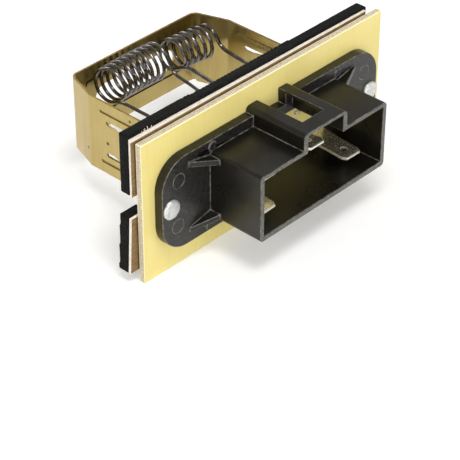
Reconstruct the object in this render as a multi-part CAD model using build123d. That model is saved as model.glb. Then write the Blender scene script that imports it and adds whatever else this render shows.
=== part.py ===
from build123d import *
import os
from math import asin, atan2, cos, pi, sin, tan

# Blower motor resistor: a glass-epoxy plate with a moulded connector on its front,
# and two resistance coils inside a folded sheet guard on its back.
# Millimetres. X along the plate, +Z up, +Y from the connector towards the coils.
# The pieces are drawn from the centre of the plate's front face. They are stored with
# the origin in the gasket's seat, on the connector's axis.

# Mounting plate
PLATE_W = 88.9
PLATE_H = 40.64
PLATE_T = 1.78

# Connector flange and rivets
FLANGE_W = 80.8
FLANGE_H = 26.5
FLANGE_T = 2.7
FLANGE_CORNER = 8.4
RIVET_X = 37.5
RIVET_SHANK_R = 1.55
RIVET_HOLE_R = 1.6
RIVET_HEAD_R = 2.75
RIVET_HEAD_H = 1.25
RIVET_HEAD_EDGE = 0.25
DOME_BANDS = 2
RIVET_TAIL_R = 2.4
RIVET_TAIL_H = 0.9

# Connector socket
RIM_Y = -19.6
SOCKET_OUT_X = 23.7
SOCKET_OUT_LOW = -9.25
SOCKET_OUT_HIGH = 10.1
MOUTH_IN_X = 22.35
MOUTH_IN_LOW = -7.65
SOCKET_IN_HIGH = 8.9
FLOOR_IN_X = 22.45
FLOOR_IN_LOW = -8.03
FLOOR_IN_HIGH = 8.03

# Latch hood over the socket
HOOD_OUT_X = 8.1
HOOD_IN_X = 6.6
HOOD_TOP = 14.8
HOOD_CEILING = 13.9
HOOD_CORNER = 1.4
SLIT_HALF = 3.9
SLIT_CENTRE = 0.1
SLIT_FLOOR = 10.85
BRIDGE_Y = -15.0
CATCH_HALF = 2.15
CATCH_DROP = 1.5
CATCH_Y = (-18.0, -15.5)

# Locating pips on the flange
PIP_R = 1.25
PIP_H = 0.3

# Gussets between the socket's corners and the flange
GUSSET_T = 1.5
GUSSET_FOOT_X = 31.45
GUSSET_ROOT_Y = -6.3
GUSSET_FAN = 12.0

# Terminals
COLUMN_X = {"left": -16.6, "middle": 1.6, "right": 16.4}
ROW_Z = 4.0
BLADE_W = 6.3
BLADE_T = 0.8
BLADE_TIP_Y = -15.7
BEND_Y = -0.75
NOSE_IN = 0.8
NOSE_LEN = 1.35
BLADE_HOLE_Y = -12.3
BLADE_HOLE_R = 0.95
EAR_IN = 4.35
EAR_OUT = 5.4
EAR_PROUD = 0.5
SHOULDER_W = 13.0
SHOULDER_Y = 4.2
TAIL_W = 9.2
TAIL_Y = 12.5
SLOT_W = 11.6
SLOT_H = 1.1

# Heat guard
SHEET = 0.6
GUARD_X = -0.25
GUARD_HALF = 26.25
GUARD_BACK_HALF = 22.75
GUARD_CHAMFER_Y = 37.4
GUARD_BACK_Y = 47.65
GUARD_LOW = -10.9
GUARD_BACK_LOW = -10.15
GUARD_HIGH = 10.7
RELIEF_Z = (4.7, -4.85)
RELIEF_H = 1.25
RELIEF_END_Y = 31.3
LEG_FOLD_Y = 28.3
FOLD_R = 1.9
LEG_FOOT_X = 34.3
FOOT_END_X = 41.3
FOOT_CORNER = 2.5
WINDOW_X = (-14.86, 14.44)
WINDOW_H = 6.8
SIDE_BEAD_Z = (7.6, -7.5)
SIDE_BEAD_Y = (6.0, 33.8)
BACK_BEAD_Z = (5.7, -5.7)
BACK_BEAD_HALF = 18.2
BEAD_W = 1.5
BEAD_RISE = 0.35
GROOVE_W = 0.8
GROOVE_DEPTH = 0.35

# Gasket, cut and stuck on a little askew: corners in X and Z, seen from the front
BOARD_T = 0.8
FOAM_T = 3.3
BOARD_CORNERS = {"top_left": (-45.4, 21.3), "top_right": (41.0, 20.8),
                 "low_right": (41.0, -17.6), "low_left": (-46.9, -17.2)}
FOAM_CORNERS = {"top_left": (-45.4, 22.0), "top_right": (42.1, 21.2),
                "low_right": (42.0, -17.9), "low_left": (-46.95, -17.3)}
NOTCH_HIGH = (-45.45, 5.0)
NOTCH_LOW = (-46.0, -1.1)
GASKET_WINDOW_X = -2.4
GASKET_WINDOW_Z = 1.8
GASKET_WINDOW_W = 58.4
GASKET_WINDOW_H = 28.8
GASKET_TURN = 0.35
LEG_SLOT_X = 36.0
LEG_SLOT_H = 10.0
TAIL_CLEAR_R = 3.1

# Coils: wire radius, winding radius, pitch, turns from the bottom of the first loop,
# and where the winding starts and how it leans
WIRE_SIDES = 8
STEPS_PER_TURN = 16
LEFT_COIL = {"wire": 0.5, "r": 4.95, "pitch": 2.08, "turns": 8.64, "x": -16.35, "y": 40.95,
             "z": 7.25, "yaw": 0.0, "droop": -0.3}
RIGHT_COIL = {"wire": 0.58, "r": 4.4, "pitch": 2.5, "turns": 5.64, "x": 6.9, "y": 41.5,
              "z": 6.0, "yaw": -2.4, "droop": 3.4}

# Thermal limiter
LIMITER_Y = 9.3
LIMITER_R = 2.0
LIMITER_LEN = 10.6
LIMITER_WALL = 0.4
LIMITER_SEAL = 2.2
LIMITER_LEAD_R = 0.45

os.makedirs("parts", exist_ok=True)


SEAT_Y = PLATE_T + SHEET + BOARD_T + FOAM_T


def save(shape, name):
    seated = Pos(0, -SEAT_Y, 0) * shape
    seated.label = name
    export_step(seated, os.path.join("parts", name + ".step"))


def block(x, y, z):
    """Box from three (low, high) pairs."""
    size = (x[1] - x[0], y[1] - y[0], z[1] - z[0])
    centre = ((x[0] + x[1]) / 2, (y[0] + y[1]) / 2, (z[0] + z[1]) / 2)
    return Pos(*centre) * Box(*size)


def front_plane(y):
    """Plane at depth y whose x is X and whose y is Z, facing the viewer."""
    return Plane(origin=(0, y, 0), x_dir=(1, 0, 0), z_dir=(0, -1, 0))


def along_y(face_2d, y_front, y_back):
    """Extrudes a sketch in X and Z from y_back forwards to y_front."""
    return extrude(front_plane(y_back) * face_2d, amount=y_back - y_front)


def rod_y(r, x, z, y0, y1):
    return along_y(Pos(x, z) * Circle(r), y0, y1)


# Mounting plate
def mounting_plate():
    plate = along_y(Rectangle(PLATE_W, PLATE_H), 0, PLATE_T)
    for x in (-RIVET_X, RIVET_X):
        plate -= rod_y(RIVET_HOLE_R, x, 0, -1, PLATE_T + 1)
    for x, z in terminal_places().values():
        slot = Pos(x, z) * Rectangle(SLOT_W, SLOT_H)
        plate -= along_y(slot, -1, PLATE_T + 1)
    return plate


def terminal_places():
    places = {"upper_" + side: (x, ROW_Z) for side, x in COLUMN_X.items()}
    for side in ("left", "right"):
        places["lower_" + side] = (COLUMN_X[side], -ROW_Z)
    return places


# Connector housing
def connector_housing():
    flange = along_y(RectangleRounded(FLANGE_W, FLANGE_H, FLANGE_CORNER), -FLANGE_T, 0)

    # socket walls, with softly rounded outer corners
    wall_w = 2 * SOCKET_OUT_X
    wall_h = SOCKET_OUT_HIGH - SOCKET_OUT_LOW
    wall_mid = (SOCKET_OUT_HIGH + SOCKET_OUT_LOW) / 2
    walls = along_y(Pos(0, wall_mid) * RectangleRounded(wall_w, wall_h, 1.1), RIM_Y, -FLANGE_T / 2)

    # latch hood
    hood_outline = Pos(0, HOOD_TOP / 2) * Rectangle(2 * HOOD_OUT_X, HOOD_TOP)
    hood_outline = fillet(hood_outline.vertices().group_by(Axis.Y)[-1], HOOD_CORNER)
    hood = along_y(hood_outline, RIM_Y, 0)
    body = flange + walls + hood

    for side in (-1, 1):
        body += gusset(side, 1)
        body += gusset(side, -1)

    # socket cavity, drafted so that it opens towards the flange
    mouth = front_plane(RIM_Y - 0.01) * (
        Pos(0, (SOCKET_IN_HIGH + MOUTH_IN_LOW) / 2)
        * Rectangle(2 * MOUTH_IN_X, SOCKET_IN_HIGH - MOUTH_IN_LOW))
    foot = front_plane(-FLANGE_T) * (
        Pos(0, (SOCKET_IN_HIGH + FLOOR_IN_LOW) / 2)
        * Rectangle(2 * FLOOR_IN_X, SOCKET_IN_HIGH - FLOOR_IN_LOW))
    body -= loft([mouth, foot])
    floor_opening = Pos(0, (FLOOR_IN_HIGH + FLOOR_IN_LOW) / 2) * Rectangle(
        2 * FLOOR_IN_X, FLOOR_IN_HIGH - FLOOR_IN_LOW)
    body -= along_y(floor_opening, -FLANGE_T - 0.01, 1)

    # tunnel of the hood, open to the socket below it
    tunnel_outline = Pos(0, (HOOD_CEILING + 6) / 2) * Rectangle(2 * HOOD_IN_X, HOOD_CEILING - 6)
    tunnel_outline = fillet(tunnel_outline.vertices().group_by(Axis.Y)[-1], 0.5)
    body -= along_y(tunnel_outline, RIM_Y - 1, -FLANGE_T)

    # slit between the hood's rails, which also notches the flange's top edge
    slit = (SLIT_CENTRE - SLIT_HALF, SLIT_CENTRE + SLIT_HALF)
    body -= block(slit, (BRIDGE_Y, -FLANGE_T), (SLIT_FLOOR, HOOD_TOP + 1))
    body -= block(slit, (-FLANGE_T - 0.01, 1), (SLIT_FLOOR, HOOD_TOP + 1))

    # catch under the bridge, for the plug's latch
    catch = block((-CATCH_HALF, CATCH_HALF), CATCH_Y, (HOOD_CEILING - CATCH_DROP, HOOD_CEILING + 0.3))
    low_edges = catch.edges().filter_by(Axis.Y).group_by(Axis.Z)[0]
    body += fillet(low_edges, 0.7)

    # rivet holes
    for x in (-RIVET_X, RIVET_X):
        body -= rod_y(RIVET_HOLE_R, x, 0, -FLANGE_T - 1, 1)

    # small locating pips on the flange's front
    for x in (-24.0, -10.3, 10.0, 23.9):
        body += rod_y(PIP_R, x, -11.7, -FLANGE_T - PIP_H, -FLANGE_T / 2)
    for x in (-22.9, 24.2):
        body += rod_y(PIP_R, x, 11.4, -FLANGE_T - PIP_H, -FLANGE_T / 2)
    return body


def gusset(side, up):
    """Triangular web from a socket corner to the flange, fanning outwards."""
    root_x = SOCKET_OUT_X - 0.6
    run = GUSSET_FOOT_X - root_x
    root_z = 8.3 if up > 0 else 7.75
    with BuildSketch(Plane.XY) as web:
        with BuildLine():
            Polyline((0, -FLANGE_T / 2), (run, -FLANGE_T / 2), (run, -FLANGE_T - 0.25),
                     (0, GUSSET_ROOT_Y), close=True)
        make_face()
    blade = extrude(web.sketch, amount=GUSSET_T / 2, both=True)
    blade = Pos(root_x, 0, root_z) * Rot(0, -GUSSET_FAN, 0) * blade
    if up < 0:
        blade = mirror(blade, Plane.XY)
    if side < 0:
        blade = mirror(blade, Plane.YZ)
    return blade


# Rivets, through flange, plate and the guard's foot
def rivet(x):
    grip_back = PLATE_T + SHEET
    top = -FLANGE_T - RIVET_HEAD_H
    cap = RIVET_HEAD_H - RIVET_HEAD_EDGE
    ball_r = (RIVET_HEAD_R ** 2 + cap ** 2) / (2 * cap)
    ball_y = top + ball_r
    half_angle = asin(RIVET_HEAD_R / ball_r)
    angles = [half_angle * (1 - band / DOME_BANDS) for band in range(DOME_BANDS + 1)]
    dome = [(ball_r * sin(a), ball_y - ball_r * cos(a)) for a in angles]
    tail_back = grip_back + RIVET_TAIL_H
    with BuildSketch(Plane.XY) as half:
        with BuildLine():
            Polyline((0, tail_back), (RIVET_TAIL_R, tail_back), (RIVET_TAIL_R, grip_back),
                     (RIVET_SHANK_R, grip_back),
                     (RIVET_SHANK_R, -FLANGE_T), (RIVET_HEAD_R, -FLANGE_T), *dome, close=True)
        make_face()
    return Pos(x, 0, 0) * revolve(half.sketch, Axis.Y)


# Terminals: one stamping each, with a blade, two staked ears, a shoulder and a tail
def terminal(x, z, lift, yaw):
    def flat(points):
        with BuildSketch(Plane.XY) as outline:
            with BuildLine():
                Polyline(*points, close=True)
            make_face()
        return outline.sketch

    half = BLADE_W / 2
    stem = flat([(-half, BEND_Y - 0.15), (half, BEND_Y - 0.15),
                 (half, PLATE_T + 0.2), (-half, PLATE_T + 0.2)])
    back = flat([(-SHOULDER_W / 2, PLATE_T), (SHOULDER_W / 2, PLATE_T),
                 (SHOULDER_W / 2, SHOULDER_Y), (TAIL_W / 2, SHOULDER_Y + 0.9),
                 (TAIL_W / 2, TAIL_Y), (-TAIL_W / 2, TAIL_Y),
                 (-TAIL_W / 2, SHOULDER_Y + 0.9), (-SHOULDER_W / 2, SHOULDER_Y)])
    body = extrude(stem + back, amount=BLADE_T / 2, both=True)
    for side in (-1, 1):
        ear = block(sorted((side * EAR_IN, side * EAR_OUT)), (-EAR_PROUD, PLATE_T + 0.2),
                    (-BLADE_T / 2, BLADE_T / 2))
        body += ear

    # blade with a tapered, thinned nose, bent a little out of line in front of the plate
    tip = BLADE_TIP_Y - BEND_Y
    nose_half = half - NOSE_IN
    outline = flat([(-half, 0.25), (half, 0.25), (half, tip + NOSE_LEN), (nose_half, tip),
                    (-nose_half, tip), (-half, tip + NOSE_LEN)])
    blade = extrude(outline, amount=BLADE_T / 2, both=True)
    blade = chamfer(blade.edges().filter_by(Axis.X).group_by(Axis.Y)[0], 0.22)
    blade -= Pos(0, BLADE_HOLE_Y - BEND_Y, 0) * Cylinder(BLADE_HOLE_R, 4)
    blade = Pos(0, BEND_Y, 0) * Rot(-lift, 0, 0) * Rot(0, 0, yaw) * blade
    return Pos(x, 0, z) * (body + blade)


# Heat guard
def guard_outline(offset):
    """Plan outline of the guard's outside, moved inwards by offset, open at the front."""
    lean = atan2(GUARD_HALF - GUARD_BACK_HALF, GUARD_BACK_Y - GUARD_CHAMFER_Y)
    half = GUARD_HALF - offset
    corner_y = GUARD_CHAMFER_Y - offset * tan(lean / 2)
    back_y = GUARD_BACK_Y - offset
    back_half = GUARD_BACK_HALF - offset * (1 - sin(lean)) / cos(lean)
    return [(-half, PLATE_T), (-half, corner_y), (-back_half, back_y),
            (back_half, back_y), (half, corner_y), (half, PLATE_T)]


def guard_block(offset, corner_r):
    points = guard_outline(offset)
    with BuildSketch(Plane.XY) as plan:
        with BuildLine():
            Polyline(*points, close=True)
        make_face()
        fillet(plan.vertices().filter_by(lambda v: v.Y > PLATE_T + 1), corner_r)
    height = GUARD_HIGH - GUARD_LOW
    return Pos(0, 0, GUARD_LOW) * extrude(plan.sketch, amount=height)


def leg(side):
    """Leg folded out of a side wall, and the foot that lies on the plate's back."""
    wall = GUARD_HALF
    foot_back = PLATE_T + SHEET
    slant = atan2(LEG_FOOT_X - wall, LEG_FOLD_Y - foot_back)
    heel_x = LEG_FOOT_X + SHEET * tan(slant) - SHEET / cos(slant)
    with BuildSketch(Plane.XY) as profile:
        with BuildLine():
            Polyline((wall, RELIEF_END_Y), (wall, LEG_FOLD_Y), (LEG_FOOT_X, foot_back),
                     (FOOT_END_X, foot_back), (FOOT_END_X, PLATE_T), (heel_x, PLATE_T),
                     (wall - SHEET, LEG_FOLD_Y - SHEET * tan(slant / 2)),
                     (wall - SHEET, RELIEF_END_Y), close=True)
        make_face()
        fillet(profile.vertices().sort_by_distance((LEG_FOOT_X, foot_back))[0], 0.5)
        fillet(profile.vertices().sort_by_distance((heel_x, PLATE_T))[0], 0.5 + SHEET)
    low = RELIEF_Z[1] + RELIEF_H / 2
    high = RELIEF_Z[0] - RELIEF_H / 2
    shape = Pos(0, 0, low) * extrude(profile.sketch, amount=high - low)
    # the foot's outer end is rounded in plan
    corners = shape.edges().filter_by(Axis.Y).group_by(Axis.X)[-1]
    shape = fillet(corners, FOOT_CORNER)
    if side < 0:
        shape = mirror(shape, Plane.YZ)
    return shape


def add_bead(shell, plane, length):
    """Presses a bead with nipped corners into a wall: raised inside, grooved outside.

    The plane lies on the wall's outer face, its x along the bead, its z outwards."""
    ridge = plane * nipped(length, BEAD_W)
    groove = plane * nipped(length - BEAD_W + GROOVE_W, GROOVE_W)
    shell += extrude(ridge, amount=-SHEET - BEAD_RISE)
    return shell - extrude(groove, amount=-GROOVE_DEPTH)


def nipped(length, width):
    strip = Rectangle(length, width)
    return chamfer(strip.vertices(), width * 0.3)


def heat_guard():
    shell = guard_block(0, FOLD_R + SHEET) - guard_block(SHEET, FOLD_R)
    shell -= block((-GUARD_HALF + SHEET, GUARD_HALF - SHEET), (0, PLATE_T + 3),
                   (GUARD_LOW - 1, GUARD_HIGH + 1))

    # relief slots, and the gap that the folded leg leaves between them
    for side in (-1, 1):
        wall = sorted((side * (GUARD_HALF - 2), side * (GUARD_HALF + 2)))
        for z in RELIEF_Z:
            end = RELIEF_END_Y - RELIEF_H / 2
            shell -= block(wall, (0, end), (z - RELIEF_H / 2, z + RELIEF_H / 2))
            shell -= Pos(side * GUARD_HALF, end, z) * Rot(0, 90, 0) * Cylinder(RELIEF_H / 2, 4)
        shell -= block(wall, (0, LEG_FOLD_Y), (RELIEF_Z[1], RELIEF_Z[0]))
        shell += leg(side)
        shell -= rod_y(RIVET_HOLE_R, side * RIVET_X - GUARD_X, 0, 0, 5)

    # the back wall is a little shorter than the sides
    shell -= block((-GUARD_BACK_HALF, GUARD_BACK_HALF), (GUARD_BACK_Y - 1.5, GUARD_BACK_Y + 1),
                   (GUARD_LOW - 1, GUARD_BACK_LOW))

    # window in the back wall
    window = SlotOverall(WINDOW_X[1] - WINDOW_X[0], WINDOW_H)
    shell -= along_y(Pos((WINDOW_X[0] + WINDOW_X[1]) / 2, 0) * window,
                     GUARD_BACK_Y - 2, GUARD_BACK_Y + 2)

    # stiffening beads, raised towards the coils
    side_len = SIDE_BEAD_Y[1] - SIDE_BEAD_Y[0]
    side_mid = (SIDE_BEAD_Y[1] + SIDE_BEAD_Y[0]) / 2
    for side in (-1, 1):
        for z in SIDE_BEAD_Z:
            wall_plane = Plane(origin=(side * GUARD_HALF, side_mid, z), x_dir=(0, 1, 0),
                               z_dir=(side, 0, 0))
            shell = add_bead(shell, wall_plane, side_len)
    for z in BACK_BEAD_Z:
        back_plane = Plane(origin=(0, GUARD_BACK_Y, z), x_dir=(1, 0, 0), z_dir=(0, 1, 0))
        shell = add_bead(shell, back_plane, 2 * BACK_BEAD_HALF)
    return Pos(GUARD_X, 0, 0) * shell


# Gasket layers
def gasket_layer(corners, y0, y1):
    """C-shaped layer: outline with a notch at the left, and a window."""
    window_left = GASKET_WINDOW_X - GASKET_WINDOW_W / 2
    outline = [corners["top_left"], corners["top_right"], corners["low_right"],
               corners["low_left"], NOTCH_LOW, (window_left + 1, NOTCH_LOW[1]),
               (window_left + 1, NOTCH_HIGH[1]), NOTCH_HIGH]
    with BuildSketch() as sheet:
        with BuildLine():
            Polyline(*outline, close=True)
        make_face()
    window = RectangleRounded(GASKET_WINDOW_W, GASKET_WINDOW_H, 1.0)
    # seen from the front the window is turned clockwise
    window = Pos(GASKET_WINDOW_X, GASKET_WINDOW_Z) * Rot(0, 0, -GASKET_TURN) * window
    layer = along_y(sheet.sketch - window, y0, y1)
    # clearance for the guard's legs and for the rivets' tails
    layer -= block((-LEG_SLOT_X, LEG_SLOT_X), (y0 - 1, y1 + 1), (-LEG_SLOT_H / 2, LEG_SLOT_H / 2))
    for x in (-RIVET_X, RIVET_X):
        layer -= rod_y(TAIL_CLEAR_R, x, 0, y0 - 1, y1 + 1)
    return layer


# Coils
def winding_points(form):
    """Points of the winding along X, from the bottom of the first loop, going backwards first."""
    steps = round(form["turns"] * STEPS_PER_TURN)
    place = Pos(form["x"], form["y"], form["z"]) * Rot(0, form["droop"], form["yaw"])
    points = []
    for step in range(steps + 1):
        turn = form["turns"] * step / steps
        angle = 2 * pi * turn
        at = Pos(form["pitch"] * turn, form["r"] * sin(angle), -form["r"] * cos(angle))
        points.append((place * at).position)
    return points


def coil(form, lead_in, lead_out):
    """Wire from the first terminal, round the winding and back to the second."""
    winding = winding_points(form)
    first = Vector(*lead_in[0])
    route = [first, *[Vector(*p) for p in lead_in[1:]], *winding, *[Vector(*p) for p in lead_out]]
    path = Polyline(*route)
    section = Plane(origin=first, x_dir=(1, 0, 0), z_dir=route[1] - first)
    profile = section * Rot(0, 0, 180 / WIRE_SIDES) * RegularPolygon(form["wire"], WIRE_SIDES)
    return sweep(profile, path=path, transition=Transition.RIGHT)


# Thermal limiter between the lower terminals
def limiter():
    z = -ROW_Z + BLADE_T / 2 + LIMITER_LEAD_R
    axis = Pos(0, LIMITER_Y, z) * Rot(0, 90, 0)
    half = LIMITER_LEN / 2
    case = axis * Cylinder(LIMITER_R, LIMITER_LEN)
    case = chamfer(case.edges().sort_by(Axis.X)[0], 0.5)
    bore = LIMITER_LEN - LIMITER_WALL
    cavity = axis * Pos(0, 0, LIMITER_WALL / 2) * Cylinder(LIMITER_R - LIMITER_WALL, bore)
    case -= cavity
    seal = axis * Pos(0, 0, half - LIMITER_SEAL / 2) * Cylinder(LIMITER_R - LIMITER_WALL, LIMITER_SEAL)
    nose = axis * Pos(0, 0, half + 0.6) * Cone(1.5, 0.8, 1.2)
    seal += nose
    left_end = COLUMN_X["left"] - TAIL_W / 2 + 0.6
    right_end = COLUMN_X["right"] + TAIL_W / 2 - 0.6
    lead_left = axis * Pos(0, 0, (left_end - half) / 2) * Cylinder(LIMITER_LEAD_R, -left_end - half)
    inner_end = half - LIMITER_SEAL - 1.2
    lead_right = axis * Pos(0, 0, (right_end + inner_end) / 2) * Cylinder(
        LIMITER_LEAD_R, right_end - inner_end)
    seal -= lead_right
    return case, seal, lead_left, lead_right


BLADE_BENDS = {
    "upper_left": (3.8, 1.2),
    "upper_middle": (5.8, 0.3),
    "upper_right": (6.1, -0.6),
    "lower_left": (-3.6, 1.2),
    "lower_right": (-2.4, -1.0),
}

def main():
    save(mounting_plate(), "mounting_plate")
    save(connector_housing(), "connector_housing")
    save(rivet(-RIVET_X), "rivet_left")
    save(rivet(RIVET_X), "rivet_right")
    for place, (x, z) in terminal_places().items():
        lift, yaw = BLADE_BENDS[place]
        save(terminal(x, z, lift, yaw), "terminal_" + place)
    save(heat_guard(), "heat_guard")

    board_y = PLATE_T + SHEET
    foam_y = board_y + BOARD_T
    save(gasket_layer(BOARD_CORNERS, board_y, foam_y), "fibre_board")
    save(gasket_layer(FOAM_CORNERS, foam_y, foam_y + FOAM_T), "foam_gasket")

    # leads: welded along the tails, then out to where each winding begins or ends
    left_z = ROW_Z + BLADE_T / 2 + LEFT_COIL["wire"]
    left_in = [(-16.9, 6.0, left_z), (-16.9, 13.0, left_z), (-16.6, 35.3, 4.6)]
    left_out = [(2.8, 36.3, 5.6), (2.7, 35.6, 4.8), (2.5, 34.2, 4.5), (1.9, 29.0, 4.5),
                (-1.6, 13.0, left_z), (-1.6, 6.0, left_z)]
    save(coil(LEFT_COIL, left_in, left_out), "coil_left")
    right_z = ROW_Z + BLADE_T / 2 + RIGHT_COIL["wire"]
    right_in = [(4.6, 6.0, right_z), (4.6, 13.0, right_z), (7.6, 31.0, 4.2),
                (8.3, 36.2, 4.1), (8.2, 37.6, 3.7), (7.7, 39.8, 2.9)]
    right_out = [(22.2, 37.8, 5.0), (22.1, 36.9, 4.2), (21.9, 35.4, 3.8), (21.3, 31.0, 3.8),
                 (18.2, 13.0, right_z), (18.2, 6.0, right_z)]
    save(coil(RIGHT_COIL, right_in, right_out), "coil_right")

    names = ("limiter_case", "limiter_seal", "limiter_lead_left", "limiter_lead_right")
    for shape, name in zip(limiter(), names):
        save(shape, name)


main()
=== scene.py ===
import bpy
import bmesh
from math import cos, pi, radians, sin
from mathutils import Matrix, Vector, noise


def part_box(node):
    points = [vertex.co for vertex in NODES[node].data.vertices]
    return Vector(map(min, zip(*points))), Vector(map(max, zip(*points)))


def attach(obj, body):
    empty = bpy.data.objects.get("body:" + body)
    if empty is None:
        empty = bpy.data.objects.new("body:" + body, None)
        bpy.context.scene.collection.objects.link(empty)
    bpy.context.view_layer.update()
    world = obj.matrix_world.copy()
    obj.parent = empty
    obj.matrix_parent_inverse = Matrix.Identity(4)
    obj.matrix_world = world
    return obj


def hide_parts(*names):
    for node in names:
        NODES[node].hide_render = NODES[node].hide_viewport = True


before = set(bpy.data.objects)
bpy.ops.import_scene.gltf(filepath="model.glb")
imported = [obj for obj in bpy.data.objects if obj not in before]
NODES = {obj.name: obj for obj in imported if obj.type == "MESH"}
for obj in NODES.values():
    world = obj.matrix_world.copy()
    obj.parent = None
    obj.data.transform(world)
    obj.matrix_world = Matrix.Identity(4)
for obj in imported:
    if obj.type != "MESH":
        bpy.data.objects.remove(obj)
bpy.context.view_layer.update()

# Blower motor resistor, in metres. The origin is in the gasket's seat, on the
# connector's axis, with +Y towards the coils and +Z up.
MM = 0.001

# Planes in millimetres. Depths are counted from the plate's front face.
SEAT = 6.48
FLANGE_Y = -2.7
RIM_Y = -19.6
BACK_WALL_Y = 45.8
BOARD_TOP_Z = 20.9

# Share of a face's normal along an axis, above which it faces that way
FACING = 0.7
# Neighbouring facets within this many degrees are one flat face
FLAT_ANGLE = 2.0


def at(x, y, z):
    """Point in millimetres from the centre of the plate's front face."""
    return Vector((x, y - SEAT, z)) * MM


# Camera
def make_camera():
    place = Vector((-0.30127, -0.27540, 0.26572))
    right = Vector((0.6830, -0.7304, 0.0)).normalized()
    ahead = Vector((0.5911, 0.5527, -0.5875)).normalized()
    up = right.cross(ahead)
    data = bpy.data.cameras.new("camera")
    data.lens = 148.17
    data.sensor_width = 36.0
    data.clip_start = 0.01
    data.clip_end = 20.0
    camera = bpy.data.objects.new("camera", data)
    bpy.context.scene.collection.objects.link(camera)
    turn = Matrix((right, up, -ahead)).transposed()
    camera.matrix_world = Matrix.Translation(place) @ turn.to_4x4()
    bpy.context.scene.camera = camera


make_camera()


# Materials
def srgb(r, g, b):
    """Colour written as 0 to 255, as linear light."""
    out = []
    for value in (r, g, b):
        c = value / 255
        out.append(c / 12.92 if c <= 0.04045 else ((c + 0.055) / 1.055) ** 2.4)
    return (out[0], out[1], out[2], 1.0)


class Shade:
    """One procedural material, built up a node at a time."""

    def __init__(self, name, roughness=0.5, metallic=0.0, specular=0.5):
        self.mat = bpy.data.materials.new(name)
        self.mat.use_nodes = True
        self.tree = self.mat.node_tree
        self.tree.nodes.clear()
        out = self.tree.nodes.new("ShaderNodeOutputMaterial")
        self.bsdf = self.tree.nodes.new("ShaderNodeBsdfPrincipled")
        self.bsdf.inputs["Roughness"].default_value = roughness
        self.bsdf.inputs["Metallic"].default_value = metallic
        self.bsdf.inputs["Specular IOR Level"].default_value = specular
        self.tree.links.new(self.bsdf.outputs[0], out.inputs[0])
        self.coords = self.tree.nodes.new("ShaderNodeTexCoord")

    def link(self, source, target):
        self.tree.links.new(source, target)

    def texture(self, kind, size_mm, stretch=(1, 1, 1)):
        """A texture node whose grain has the given size along each axis."""
        mapping = self.tree.nodes.new("ShaderNodeMapping")
        for i in range(3):
            mapping.inputs["Scale"].default_value[i] = 1000 / (size_mm * stretch[i])
        node = self.tree.nodes.new(kind)
        node.inputs["Scale"].default_value = 1.0
        self.link(self.coords.outputs["Object"], mapping.inputs["Vector"])
        self.link(mapping.outputs[0], node.inputs["Vector"])
        return node

    def noise(self, size_mm, detail, stretch=(1, 1, 1), rough=0.5):
        node = self.texture("ShaderNodeTexNoise", size_mm, stretch)
        node.inputs["Detail"].default_value = detail
        node.inputs["Roughness"].default_value = rough
        return node.outputs["Fac"]

    def cells(self, size_mm):
        return self.texture("ShaderNodeTexVoronoi", size_mm).outputs["Distance"]

    def ramp(self, source, *stops):
        """Colours or grey levels at places along a value."""
        node = self.tree.nodes.new("ShaderNodeValToRGB")
        points = node.color_ramp.elements
        while len(points) < len(stops):
            points.new(0.5)
        for point, (place, colour) in zip(points, stops):
            point.position = place
            if isinstance(colour, (int, float)):
                colour = (colour, colour, colour, 1.0)
            point.color = colour
        self.link(source, node.inputs["Fac"])
        return node.outputs["Color"]

    def feed(self, value, socket):
        """Links an output to a socket, or sets a plain value on it."""
        if isinstance(value, bpy.types.NodeSocket):
            self.link(value, socket)
        else:
            socket.default_value = value

    def blend(self, factor, a, b):
        node = self.tree.nodes.new("ShaderNodeMix")
        node.data_type = "RGBA"
        for value, socket in ((factor, 0), (a, 6), (b, 7)):
            self.feed(value, node.inputs[socket])
        return node.outputs[2]

    def sum(self, a, b, operation="ADD"):
        node = self.tree.nodes.new("ShaderNodeMath")
        node.operation = operation
        self.feed(a, node.inputs[0])
        self.feed(b, node.inputs[1])
        return node.outputs[0]

    def height(self, low_mm, high_mm):
        """0 below one height, 1 above the other."""
        split = self.tree.nodes.new("ShaderNodeSeparateXYZ")
        self.link(self.coords.outputs["Object"], split.inputs[0])
        node = self.tree.nodes.new("ShaderNodeMapRange")
        node.inputs["From Min"].default_value = low_mm * MM
        node.inputs["From Max"].default_value = high_mm * MM
        self.link(split.outputs["Z"], node.inputs["Value"])
        return node.outputs["Result"]

    def spot(self, point, radius_mm):
        """1 inside a small round spot, 0 outside, with a soft rim."""
        node = self.tree.nodes.new("ShaderNodeVectorMath")
        node.operation = "DISTANCE"
        self.link(self.coords.outputs["Object"], node.inputs[0])
        node.inputs[1].default_value = point
        near = self.sum(node.outputs["Value"], 1000 / radius_mm, "MULTIPLY")
        return self.ramp(near, (0.5, 1.0), (1.0, 0.0))

    def colour(self, source):
        self.link(source, self.bsdf.inputs["Base Color"])

    def roughness(self, source):
        self.link(source, self.bsdf.inputs["Roughness"])

    def metallic(self, source):
        self.link(source, self.bsdf.inputs["Metallic"])

    def bump(self, source, height_mm, strength):
        node = self.tree.nodes.new("ShaderNodeBump")
        node.inputs["Strength"].default_value = strength
        node.inputs["Distance"].default_value = height_mm * MM
        self.link(source, node.inputs["Height"])
        last = self.bsdf.inputs["Normal"].links
        if last:
            self.link(last[0].from_socket, node.inputs["Normal"])
        self.link(node.outputs[0], self.bsdf.inputs["Normal"])


def laminate_face():
    s = Shade("laminate_face")
    cloud = s.ramp(s.noise(11, 3), (0.3, srgb(235, 217, 134)), (0.7, srgb(240, 224, 142)))
    threads = s.noise(0.7, 3, (1, 1, 24))
    streak = s.ramp(threads, (0.35, srgb(229, 210, 120)), (0.65, srgb(246, 232, 150)))
    s.colour(s.blend(0.12, cloud, streak))
    s.roughness(s.ramp(s.noise(1.2, 4), (0.3, 0.36), (0.7, 0.46)))
    s.bump(threads, 0.008, 0.3)
    return s.mat


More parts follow.
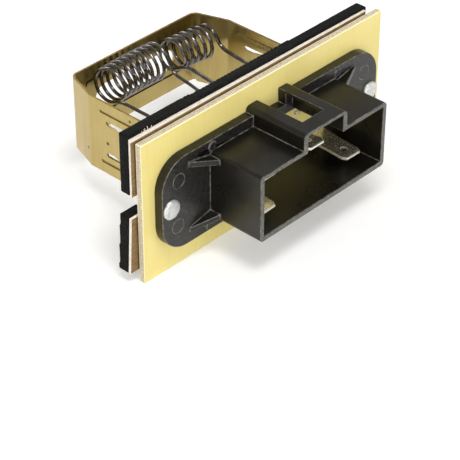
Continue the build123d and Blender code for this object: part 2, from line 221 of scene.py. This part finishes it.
def laminate_edge():
    s = Shade("laminate_edge", roughness=0.75)
    s.colour(s.ramp(s.noise(0.24, 3, (1.4, 1, 1.4), 0.7), (0.34, srgb(176, 158, 134)),
                    (0.5, srgb(214, 200, 172)), (0.66, srgb(240, 230, 208))))
    s.bump(s.noise(0.25, 3), 0.04, 0.5)
    return s.mat


def laminate_rim_highlight():
    # painted highlight: a bright cream colour for the rounded edges of the plate
    s = Shade("laminate_rim_highlight", roughness=0.3)
    s.colour(s.ramp(s.noise(0.8, 3), (0.3, srgb(250, 238, 184)), (0.7, srgb(255, 250, 214))))
    return s.mat


def black_plastic():
    s = Shade("black_plastic", specular=0.42)
    s.colour(s.ramp(s.noise(7, 3), (0.3, srgb(16, 15, 12)), (0.7, srgb(25, 23, 17))))
    s.roughness(s.ramp(s.noise(5, 3), (0.3, 0.26), (0.7, 0.36)))
    s.bump(s.noise(0.5, 2), 0.003, 0.3)
    s.bump(s.noise(6, 2), 0.03, 0.2)
    return s.mat


def black_mottled():
    s = Shade("black_mottled")
    s.colour(s.ramp(s.noise(0.7, 5, rough=0.7), (0.36, srgb(12, 12, 11)), (0.64, srgb(44, 42, 39))))
    s.roughness(s.ramp(s.noise(0.9, 4), (0.35, 0.26), (0.65, 0.46)))
    s.bump(s.noise(0.8, 4), 0.03, 0.4)
    return s.mat


def black_rim():
    s = Shade("black_rim", roughness=0.45, specular=0.4)
    s.colour(s.ramp(s.noise(0.4, 4, rough=0.7), (0.38, srgb(50, 49, 45)), (0.62, srgb(122, 120, 114))))
    s.bump(s.noise(0.4, 4), 0.02, 0.5)
    return s.mat


def black_edge_highlight():
    # painted highlight: a lighter grey for the rounded edges of the housing and for the ejector rings
    s = Shade("black_edge_highlight", roughness=0.3)
    s.colour(s.ramp(s.noise(1.5, 4), (0.35, srgb(40, 39, 35)), (0.65, srgb(112, 110, 102))))
    return s.mat


def fibre_face():
    s = Shade("fibre_face", roughness=0.85, specular=0.2)
    cloud = s.ramp(s.noise(3, 4), (0.3, srgb(124, 98, 62)), (0.7, srgb(146, 120, 82)))
    hair = s.ramp(s.noise(0.35, 3, (6, 1, 1)), (0.35, srgb(114, 88, 56)), (0.65, srgb(160, 134, 98)))
    painted_top_highlight = s.ramp(s.noise(0.5, 3, (5, 1, 1)), (0.35, srgb(232, 220, 204)), (0.65, srgb(250, 244, 234)))
    # painted highlight: the top of the face is near white, like the lit top edge above it
    s.colour(s.blend(s.height(20.55, 20.85), s.blend(0.5, cloud, hair), painted_top_highlight))
    s.bump(s.noise(0.4, 3, (4, 1, 1)), 0.04, 0.5)
    return s.mat


def fibre_edge():
    s = Shade("fibre_edge", roughness=0.9, specular=0.2)
    s.colour(s.ramp(s.noise(0.22, 3, (6, 1, 6)), (0.34, srgb(226, 212, 194)), (0.5, srgb(246, 238, 226)),
                    (0.66, srgb(255, 252, 246))))
    s.bump(s.noise(0.2, 3, (5, 1, 5)), 0.06, 0.8)
    return s.mat


def foam_rubber():
    s = Shade("foam_rubber", roughness=0.7, specular=0.12)
    cells = s.cells(0.45)
    s.colour(s.ramp(cells, (0.1, srgb(7, 7, 6)), (0.5, srgb(11, 11, 10)), (0.8, srgb(31, 30, 27))))
    s.bump(cells, 0.05, 0.5)
    return s.mat


def plated_sheet():
    s = Shade("plated_sheet", metallic=1.0)
    wash = s.ramp(s.noise(16, 3, (1, 1, 1.6)), (0.3, srgb(174, 151, 90)), (0.5, srgb(190, 171, 112)),
                  (0.7, srgb(180, 159, 97)))
    streak = s.ramp(s.noise(1.4, 3, (1, 1, 22)), (0.35, srgb(172, 149, 91)), (0.65, srgb(192, 173, 114)))
    # three small rust marks on the left wall
    rust = s.spot(at(-26.5, 22.4, 9.0), 0.5)
    for place in (at(-26.5, 30.8, -1.3), at(-25.9, 38.7, -6.1)):
        rust = s.sum(rust, s.spot(place, 0.6))
    s.colour(s.blend(rust, s.blend(0.25, wash, streak), srgb(84, 52, 20)))
    s.roughness(s.ramp(s.noise(9, 2, (1, 1, 3)), (0.3, 0.26), (0.7, 0.34)))
    s.bump(s.noise(14, 2), 0.2, 0.2)
    return s.mat


def plated_edge():
    s = Shade("plated_edge", roughness=0.4, metallic=1.0)
    s.colour(s.ramp(s.noise(2, 3), (0.3, srgb(112, 88, 36)), (0.7, srgb(156, 128, 66))))
    return s.mat


def painted_bead_shade():
    # painted shade for the beads on the back wall of the guard
    s = Shade("painted_bead_shade", roughness=0.45, metallic=1.0)
    s.colour(s.ramp(s.noise(2, 3), (0.3, srgb(34, 24, 8)), (0.7, srgb(56, 42, 16))))
    return s.mat


def rivet_metal():
    s = Shade("rivet_metal", metallic=0.7)
    s.colour(s.ramp(s.noise(0.9, 4), (0.3, srgb(190, 191, 188)), (0.7, srgb(228, 229, 226))))
    s.roughness(s.ramp(s.noise(0.6, 4), (0.3, 0.36), (0.7, 0.55)))
    s.bump(s.noise(0.8, 4), 0.06, 0.5)
    return s.mat


def blade_metal():
    s = Shade("blade_metal")
    s.colour(s.ramp(s.noise(0.6, 4, rough=0.6), (0.36, srgb(206, 197, 170)), (0.62, srgb(252, 250, 243))))
    s.metallic(s.ramp(s.noise(0.45, 3, rough=0.6), (0.4, 0.96), (0.62, 0.7)))
    s.roughness(s.ramp(s.noise(0.8, 4, (1, 5, 1)), (0.3, 0.12), (0.7, 0.22)))
    s.bump(s.noise(0.6, 3, (1, 2, 1)), 0.014, 0.4)
    return s.mat


def blade_edge_highlight():
    # painted highlight: near white for the cut edges of the blades
    s = Shade("blade_edge_highlight", roughness=0.3, metallic=0.6)
    s.colour(s.ramp(s.noise(1.2, 3), (0.3, srgb(238, 230, 206)), (0.7, srgb(252, 250, 243))))
    return s.mat


def resistance_wire():
    s = Shade("resistance_wire", metallic=1.0)
    s.colour(s.ramp(s.noise(3, 3), (0.3, srgb(102, 98, 95)), (0.7, srgb(140, 136, 133))))
    s.roughness(s.ramp(s.noise(1.4, 3), (0.3, 0.11), (0.7, 0.2)))
    return s.mat


def limiter_metal():
    s = Shade("limiter_metal", roughness=0.32, metallic=1.0)
    s.colour(s.ramp(s.noise(2, 3), (0.3, srgb(178, 176, 172)), (0.7, srgb(206, 204, 200))))
    s.bump(s.noise(0.4, 3, (6, 1, 1)), 0.01, 0.4)
    return s.mat


def limiter_resin():
    s = Shade("limiter_resin", roughness=0.45)
    s.colour(s.ramp(s.noise(1.2, 3), (0.3, srgb(150, 62, 34)), (0.7, srgb(176, 84, 50))))
    s.bump(s.noise(0.6, 3), 0.05, 0.5)
    return s.mat


MATS = {make.__name__: make() for make in (
    laminate_face, laminate_edge, laminate_rim_highlight, black_plastic, black_mottled, black_rim, black_edge_highlight,
    fibre_face, fibre_edge, foam_rubber, plated_sheet, plated_edge, painted_bead_shade, rivet_metal,
    blade_metal, blade_edge_highlight, resistance_wire, limiter_metal, limiter_resin)}


# Mesh tools
def new_piece(name, verts, faces, mats, nodes=()):
    """A visible piece on the root body, in place of the CAD nodes that are named."""
    mesh = bpy.data.meshes.new(name)
    mesh.from_pydata([tuple(v) for v in verts], [], faces)
    for m in mats:
        mesh.materials.append(MATS[m])
    mesh.validate()
    mesh.shade_smooth()
    piece = bpy.data.objects.new(name, mesh)
    bpy.context.scene.collection.objects.link(piece)
    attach(piece, "root")
    if nodes:
        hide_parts(*nodes)
    return piece


def node_shape(node):
    """Vertices and faces of a CAD node with its flat areas joined into single faces."""
    bm = bmesh.new()
    bm.from_mesh(NODES[node].data)
    bmesh.ops.remove_doubles(bm, verts=bm.verts, dist=2e-6)
    bmesh.ops.dissolve_limit(bm, angle_limit=radians(FLAT_ANGLE), verts=bm.verts, edges=bm.edges)
    bm.verts.ensure_lookup_table()
    bm.verts.index_update()
    verts = [v.co.copy() for v in bm.verts]
    faces = [[v.index for v in f.verts] for f in bm.faces]
    bm.free()
    return verts, faces


def skin(node, mats, width_mm, angle=30, segments=2):
    """The shape of a CAD node with its edges rounded."""
    verts, faces = node_shape(node)
    piece = new_piece(node + "_skin", verts, faces, mats, [node])
    piece.data.set_sharp_from_angle(angle=radians(angle))
    bevel = piece.modifiers.new("edges", "BEVEL")
    bevel.width = width_mm * MM
    bevel.segments = segments
    bevel.limit_method = "ANGLE"
    bevel.angle_limit = radians(angle)
    bevel.use_clamp_overlap = False
    bevel.harden_normals = True
    return piece


def paint_cut_edges(piece):
    """Gives the second material to all faces of a board but its front and back."""
    for face in piece.data.polygons:
        if abs(face.normal.y) < FACING:
            face.material_index = 1


def lathe(name, profile, centre, mats, nodes=(), steps=48, dent=None):
    """Turns (radius, y) points, in millimetres, round the Y axis."""
    verts = []
    faces = []
    rows = len(profile)
    for k in range(steps):
        a = 2 * pi * k / steps
        for r, y in profile:
            x, z = r * cos(a), r * sin(a)
            if dent:
                y += dent(x, z)
            verts.append(at(centre[0] + x, centre[1] + y, centre[2] + z))
    for k in range(steps):
        m = (k + 1) % steps
        for i in range(rows - 1):
            faces.append([k * rows + i, k * rows + i + 1, m * rows + i + 1, m * rows + i])
    piece = new_piece(name, verts, faces, mats, nodes)
    bm = bmesh.new()
    bm.from_mesh(piece.data)
    bmesh.ops.remove_doubles(bm, verts=bm.verts, dist=1e-6)
    bmesh.ops.recalc_face_normals(bm, faces=bm.faces)
    bm.to_mesh(piece.data)
    bm.free()
    piece.data.shade_smooth()
    piece.data.set_sharp_from_angle(angle=radians(40))
    return piece


def tube(name, path, radius_mm, mats, nodes=(), sides=14):
    """Round wire along a line of points in millimetres, with closed ends."""
    points = [Vector(p) for p in path]
    count = len(points)
    tangents = []
    for i in range(count):
        before = points[max(i - 1, 0)]
        after = points[min(i + 1, count - 1)]
        tangents.append((after - before).normalized())
    side = tangents[0].orthogonal().normalized()
    verts = []
    faces = []
    for i in range(count):
        side = (side - tangents[i] * side.dot(tangents[i])).normalized()
        other = tangents[i].cross(side)
        for k in range(sides):
            a = 2 * pi * k / sides
            p = points[i] + (side * cos(a) + other * sin(a)) * radius_mm
            verts.append(at(*p))
    for i in range(count - 1):
        for k in range(sides):
            m = (k + 1) % sides
            faces.append([i * sides + k, i * sides + m, (i + 1) * sides + m, (i + 1) * sides + k])
    faces.append(list(range(sides))[::-1])
    faces.append([(count - 1) * sides + k for k in range(sides)])
    piece = new_piece(name, verts, faces, mats, nodes)
    piece.data.set_sharp_from_angle(angle=radians(50))
    return piece


def rounded(points, radius, steps):
    """Line of points with its inner corners turned into short curves."""
    pts = [Vector(p) for p in points]
    out = [pts[0]]
    for a, b, c in zip(pts, pts[1:], pts[2:]):
        reach = min(radius, (b - a).length * 0.45, (c - b).length * 0.45)
        start = b + (a - b).normalized() * reach
        end = b + (c - b).normalized() * reach
        for k in range(steps + 1):
            t = k / steps
            out.append(start * (1 - t) ** 2 + b * 2 * t * (1 - t) + end * t ** 2)
    out.append(pts[-1])
    return out


# Plate
def make_plate():
    mats = ["laminate_face", "laminate_edge", "laminate_rim_highlight"]
    piece = skin("mounting_plate", mats, 0.22)
    paint_cut_edges(piece)
    # the rounded edges are painted bright cream, a painted highlight
    piece.modifiers["edges"].material = 2


# Connector
def make_housing():
    mats = ["black_plastic", "black_mottled", "black_rim", "black_edge_highlight"]
    piece = skin("connector_housing", mats, 0.2, 32)
    facing_front = -0.95
    for face in piece.data.polygons:
        if face.normal.y < facing_front:
            depth = face.center.y / MM + SEAT
            if depth < RIM_Y + 0.2:
                face.material_index = 2
            elif abs(depth - FLANGE_Y) < 0.4:
                face.material_index = 1
    # the rounded edges are painted lighter grey, a painted highlight
    piece.modifiers["edges"].material = 3


def make_flange_marks():
    """Round moulding marks: four rings on the flange's ends, six small pips by the socket."""
    ring = [(1.8, 0.05), (1.9, -0.06), (2.1, -0.06), (2.2, 0.05)]
    rings = [(-34.6, 6.9), (-35.2, -6.2), (34.3, -6.9), (34.9, 6.7)]
    for i, (x, z) in enumerate(rings):
        # the rings are drawn in the lighter grey of the painted edge highlight
        lathe(f"ejector_ring_{i + 1}", ring, (x, FLANGE_Y, z), ["black_edge_highlight"])
    lip = [(0.35, 0.1), (0.5, -0.05), (0.85, -0.09), (1.05, -0.04), (1.1, 0.1)]
    pips = [(x, -11.7) for x in (-24.0, -10.3, 10.0, 23.9)] + [(-22.9, 11.4), (24.2, 11.4)]
    pip_y = FLANGE_Y - 0.3
    for i, (x, z) in enumerate(pips):
        lathe(f"pip_rim_{i + 1}", lip, (x, pip_y, z), ["black_mottled"], steps=28)


# Rivets
def make_rivets():
    top = FLANGE_Y - 0.85
    shank = 1.55
    head = [(0.0, top), (0.9, top + 0.01), (1.7, top + 0.03), (2.25, top + 0.08), (2.5, top + 0.2),
            (2.66, top + 0.42), (2.7, top + 0.65), (2.66, FLANGE_Y - 0.02), (2.6, FLANGE_Y),
            (shank, FLANGE_Y)]
    foot = 2.38
    tail = [(shank, foot), (2.36, foot), (2.38, 2.7), (2.2, 3.05), (1.9, 3.24), (1.2, 3.26), (0.9, 3.0),
            (0.0, 2.95)]
    dent_depth = 0.07
    for name, x in (("rivet_left", -37.5), ("rivet_right", 37.5)):

        def dent(dx, dz, x=x):
            return dent_depth * noise.noise(Vector((dx * 0.9 + x, dz * 0.9, 1.7)))

        lathe(name + "_skin", head + tail, (x, 0, 0), ["rivet_metal"], [name], 56, dent)


# Terminals
def make_terminals():
    """Blades whose cut edges are painted near white, a painted highlight. The walls of their lock holes
    keep the blade colour and stay darker.
    """
    hole_facet = 0.7 * MM * MM
    for name in sorted(NODES):
        if name.startswith("terminal_"):
            piece = skin(name, ["blade_metal", "blade_edge_highlight"], 0.13, 28)
            for face in piece.data.polygons:
                if abs(face.normal.z) < 0.5 and face.area > hole_facet:
                    face.material_index = 1
            piece.modifiers["edges"].material = 1


# Heat guard
def make_guard():
    mats = ["plated_sheet", "plated_edge", "painted_bead_shade"]
    piece = skin("heat_guard", mats, 0.06, 35)
    low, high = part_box("heat_guard")
    bead_z = 5.7
    bead_facet = 32 * MM * MM
    for face in piece.data.polygons:
        x, y, z = face.center / MM
        from_edge = min(abs(z - high[2] / MM), abs(z - low[2] / MM))
        if abs(face.normal.z) > FACING and from_edge < 0.8:
            face.material_index = 1
        # painted shade: the small faces of the two long beads along the back wall are dark
        on_bead = abs(abs(z) - bead_z) < 1.0 and abs(x) < 19
        if y + SEAT > BACK_WALL_Y and on_bead and face.area < bead_facet:
            face.material_index = 2


# Gasket
def make_board():
    piece = skin("fibre_board", ["fibre_face", "fibre_edge"], 0.08, segments=1)
    paint_cut_edges(piece)


def make_torn_fibres():
    """Short hairs that stand up from the board's corner, as place, length and lean."""
    hairs = [(-41.3, 0.3, 0.4), (-40.7, 0.6, 1.1), (-39.9, 0.4, -0.5), (-39.5, 0.9, 0.8), (-38.6, 0.4, 1.2)]
    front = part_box("fibre_board")[0][1] / MM + SEAT
    for i, (x, length, lean) in enumerate(hairs):
        path = [(x, front + 0.2, BOARD_TOP_Z), (x + 0.1 * lean, front + 0.2, BOARD_TOP_Z + 0.5),
                (x + 0.5 * lean, front + 0.5, BOARD_TOP_Z + 0.6 + 0.3 * length),
                (x + 0.9 * lean, front + 0.5 + 0.7 * length, BOARD_TOP_Z + 0.7 + 0.36 * length)]
        tube(f"torn_fibre_{i + 1}", rounded(path, 0.4, 3), 0.06, ["fibre_edge"], sides=6)


def make_foam():
    voxel = 0.33
    grain_depth = 0.04
    teeth_depth = 0.42
    teeth_per_mm = 0.75
    verts, faces = node_shape("foam_gasket")
    piece = new_piece("foam_gasket_skin", verts, faces, ["foam_rubber"], ["foam_gasket"])
    remesh = piece.modifiers.new("cells", "REMESH")
    remesh.mode = "VOXEL"
    remesh.voxel_size = voxel * MM
    depsgraph = bpy.context.evaluated_depsgraph_get()
    fine = bpy.data.meshes.new_from_object(piece.evaluated_get(depsgraph))
    piece.modifiers.clear()
    old = piece.data
    piece.data = fine
    bpy.data.meshes.remove(old)
    fine.name = "foam_gasket_skin"
    moved = []
    for v in fine.vertices:
        p = v.co / MM
        place = v.co + v.normal * grain_depth * noise.noise(p * 1.4) * MM
        # the knife left small teeth along the middle of the top edge
        if p.z > 20.5 and p.y > -1.6 and -24 < p.x < 12:
            tooth = abs((p.x * teeth_per_mm + 0.4 * noise.noise(p * 0.3)) % 1 - 0.5)
            place.z -= teeth_depth * tooth * min((p.y + 1.6) / 0.8, 1) * MM
        moved.append(place)
    for v, place in zip(fine.vertices, moved):
        v.co = place
    fine.shade_smooth()


# Coils: wire and winding radii, pitch, number of turns, middle of the axis and its
# slant in degrees, how far and to which side it bows, and the leads from the blades
COILS = {
    "coil_left": {
        "wire": 0.48, "r": 4.75, "pitch": 2.12, "turns": 8.64, "middle": (-7.55, 40.95, 7.4),
        "yaw": 0.0, "droop": -0.3, "bend": 9.0, "bow_side": 165.0,
        "lead_in": [(-16.9, 6.0, 4.9), (-16.9, 13.0, 4.9), (-16.6, 35.3, 4.6)],
        "lead_out": [(2.8, 36.3, 5.6), (2.6, 34.9, 4.5), (1.9, 29.0, 4.5), (-1.6, 13.0, 4.9),
                     (-1.6, 6.0, 4.9)],
    },
    "coil_right": {
        "wire": 0.55, "r": 4.35, "pitch": 2.5, "turns": 5.64, "middle": (13.93, 41.2, 5.58),
        "yaw": -2.4, "droop": 3.4, "bend": 8.0, "bow_side": 165.0,
        "lead_in": [(4.6, 6.0, 4.98), (4.6, 13.0, 4.98), (7.6, 31.0, 4.2), (8.3, 36.2, 4.1)],
        "lead_out": [(22.2, 37.8, 5.0), (22.0, 36.1, 3.9), (21.3, 31.0, 3.8), (18.2, 13.0, 4.98),
                     (18.2, 6.0, 4.98)],
    },
}


def winding(c, steps_per_turn=36):
    """Helix round an axis that bows towards one side, with its middle at the given place."""
    steps = round(c["turns"] * steps_per_turn)
    length = c["pitch"] * c["turns"]
    bow = length / radians(c["bend"])
    side = radians(c["bow_side"])
    out = Vector((0, -cos(side), sin(side)))
    along = Vector((1, 0, 0))
    across = along.cross(out)
    turn_z = Matrix.Rotation(radians(c["yaw"]), 4, "Z")
    turn_y = Matrix.Rotation(radians(c["droop"]), 4, "Y")
    place = Matrix.Translation(c["middle"]) @ turn_y @ turn_z
    points = []
    for step in range(steps + 1):
        turn = c["turns"] * step / steps
        a = 2 * pi * turn
        angle = (c["pitch"] * turn - length / 2) / bow
        ring = Vector((0, c["r"] * sin(a), -c["r"] * cos(a)))
        tilted = along * sin(angle) + out * cos(angle)
        centre = along * bow * sin(angle) - out * bow * (1 - cos(angle))
        points.append(place @ (centre + tilted * ring.dot(out) + across * ring.dot(across)))
    return points


def even(points, step=0.4):
    """The same line with its points a fixed distance apart."""
    out = [points[0]]
    left = step
    for a, b in zip(points, points[1:]):
        length = (b - a).length
        while left <= length:
            out.append(a.lerp(b, left / length))
            left += step
        left -= length
    out.append(points[-1])
    return out


def eased(line, joints, reach=9, passes=24):
    """Smooths the line near the places where the leads join the turns."""
    middles = [min(range(len(line)), key=lambda i: (line[i] - joint).length) for joint in joints]
    near = [i for i in range(1, len(line) - 1) if min(abs(i - m) for m in middles) < reach]
    for _ in range(passes):
        new = {i: (line[i - 1] + line[i] * 2 + line[i + 1]) / 4 for i in near}
        for i, p in new.items():
            line[i] = p
    return line


def make_coils():
    for name, c in COILS.items():
        turns = winding(c)
        lead_in = [Vector(p) for p in c["lead_in"]]
        lead_out = [Vector(p) for p in c["lead_out"]]
        line = even(lead_in + turns + lead_out)
        joints = [lead_in[-1], turns[0], turns[-1], lead_out[0], lead_out[1]]
        wire = eased(line, joints)
        tube(name + "_wire", wire, c["wire"], ["resistance_wire"], [name])


# Limiter
def make_limiter():
    skin("limiter_case", ["limiter_metal"], 0.12)
    skin("limiter_seal", ["limiter_resin"], 0.1)
    for side in ("left", "right"):
        skin("limiter_lead_" + side, ["limiter_metal"], 0.06, 40, 1)


make_plate()
make_housing()
make_flange_marks()
make_rivets()
make_terminals()
make_guard()
make_board()
make_torn_fibres()
make_foam()
make_coils()
make_limiter()


# Floor
def background_rays(tree):
    """1 for the camera, glossy and transmission rays, which see a plain white floor."""
    path = tree.nodes.new("ShaderNodeLightPath")
    value = path.outputs["Is Camera Ray"]
    for name in ("Is Glossy Ray", "Is Transmission Ray"):
        either = tree.nodes.new("ShaderNodeMath")
        either.operation = "MAXIMUM"
        tree.links.new(value, either.inputs[0])
        tree.links.new(path.outputs[name], either.inputs[1])
        value = either.outputs[0]
    return value


def make_floor():
    size = 1.5
    low = -0.0204
    grey = 0.86
    glow_level = 0.3
    mesh = bpy.data.meshes.new("floor")
    mesh.from_pydata([(-size, -size, low), (size, -size, low), (size, size, low), (-size, size, low)],
                     [], [(0, 1, 2, 3)])
    floor = bpy.data.objects.new("floor", mesh)
    bpy.context.scene.collection.objects.link(floor)
    mat = bpy.data.materials.new("floor_white")
    mat.use_nodes = True
    tree = mat.node_tree
    tree.nodes.clear()
    out = tree.nodes.new("ShaderNodeOutputMaterial")
    add = tree.nodes.new("ShaderNodeAddShader")
    matt = tree.nodes.new("ShaderNodeBsdfDiffuse")
    matt.inputs["Color"].default_value = (grey, grey, grey, 1.0)
    glow = tree.nodes.new("ShaderNodeEmission")
    glow.inputs["Color"].default_value = (1.0, 1.0, 1.0, 1.0)
    level = tree.nodes.new("ShaderNodeMath")
    level.operation = "MULTIPLY"
    level.inputs[1].default_value = glow_level
    tree.links.new(background_rays(tree), level.inputs[0])
    tree.links.new(level.outputs[0], glow.inputs["Strength"])
    tree.links.new(matt.outputs[0], add.inputs[0])
    tree.links.new(glow.outputs[0], add.inputs[1])
    tree.links.new(add.outputs[0], out.inputs[0])
    mesh.materials.append(mat)


make_floor()


# Light
def make_world():
    """Soft sky, white at the horizon and greyer overhead."""
    world = bpy.data.worlds.new("studio")
    bpy.context.scene.world = world
    world.use_nodes = True
    tree = world.node_tree
    tree.nodes.clear()
    out = tree.nodes.new("ShaderNodeOutputWorld")
    sky = tree.nodes.new("ShaderNodeBackground")
    coords = tree.nodes.new("ShaderNodeTexCoord")
    split = tree.nodes.new("ShaderNodeSeparateXYZ")
    ramp = tree.nodes.new("ShaderNodeValToRGB")
    points = ramp.color_ramp.elements
    points[0].position = 0.0
    points[0].color = (1.0, 1.0, 1.0, 1.0)
    points[1].position = 0.5
    points[1].color = (0.36, 0.35, 0.33, 1.0)
    tree.links.new(coords.outputs["Generated"], split.inputs[0])
    tree.links.new(split.outputs["Z"], ramp.inputs["Fac"])
    tree.links.new(ramp.outputs["Color"], sky.inputs["Color"])
    tree.links.new(sky.outputs[0], out.inputs["Surface"])


def make_lamp(name, place, aim, size, watts):
    data = bpy.data.lights.new(name, "AREA")
    data.shape = "RECTANGLE"
    data.size, data.size_y = size
    data.energy = watts
    lamp = bpy.data.objects.new(name, data)
    bpy.context.scene.collection.objects.link(lamp)
    lamp.location = place
    lamp.rotation_euler = (Vector(aim) - Vector(place)).to_track_quat("-Z", "Y").to_euler()


make_world()
make_lamp("softbox_top", (-0.15, -0.25, 0.75), (0, 0, 0), (0.32, 0.22), 2.8)
make_lamp("softbox_left", (-0.75, -0.15, 0.35), (0, 0, 0), (0.3, 0.4), 1.2)
make_lamp("softbox_back", (0.35, 0.75, 0.45), (0, 0.02, 0), (0.4, 0.25), 1.8)
make_lamp("softbox_front", (-0.2, -0.85, 0.2), (0, 0, 0), (0.5, 0.35), 2.4)

bpy.context.scene.view_settings.view_transform = "Standard"
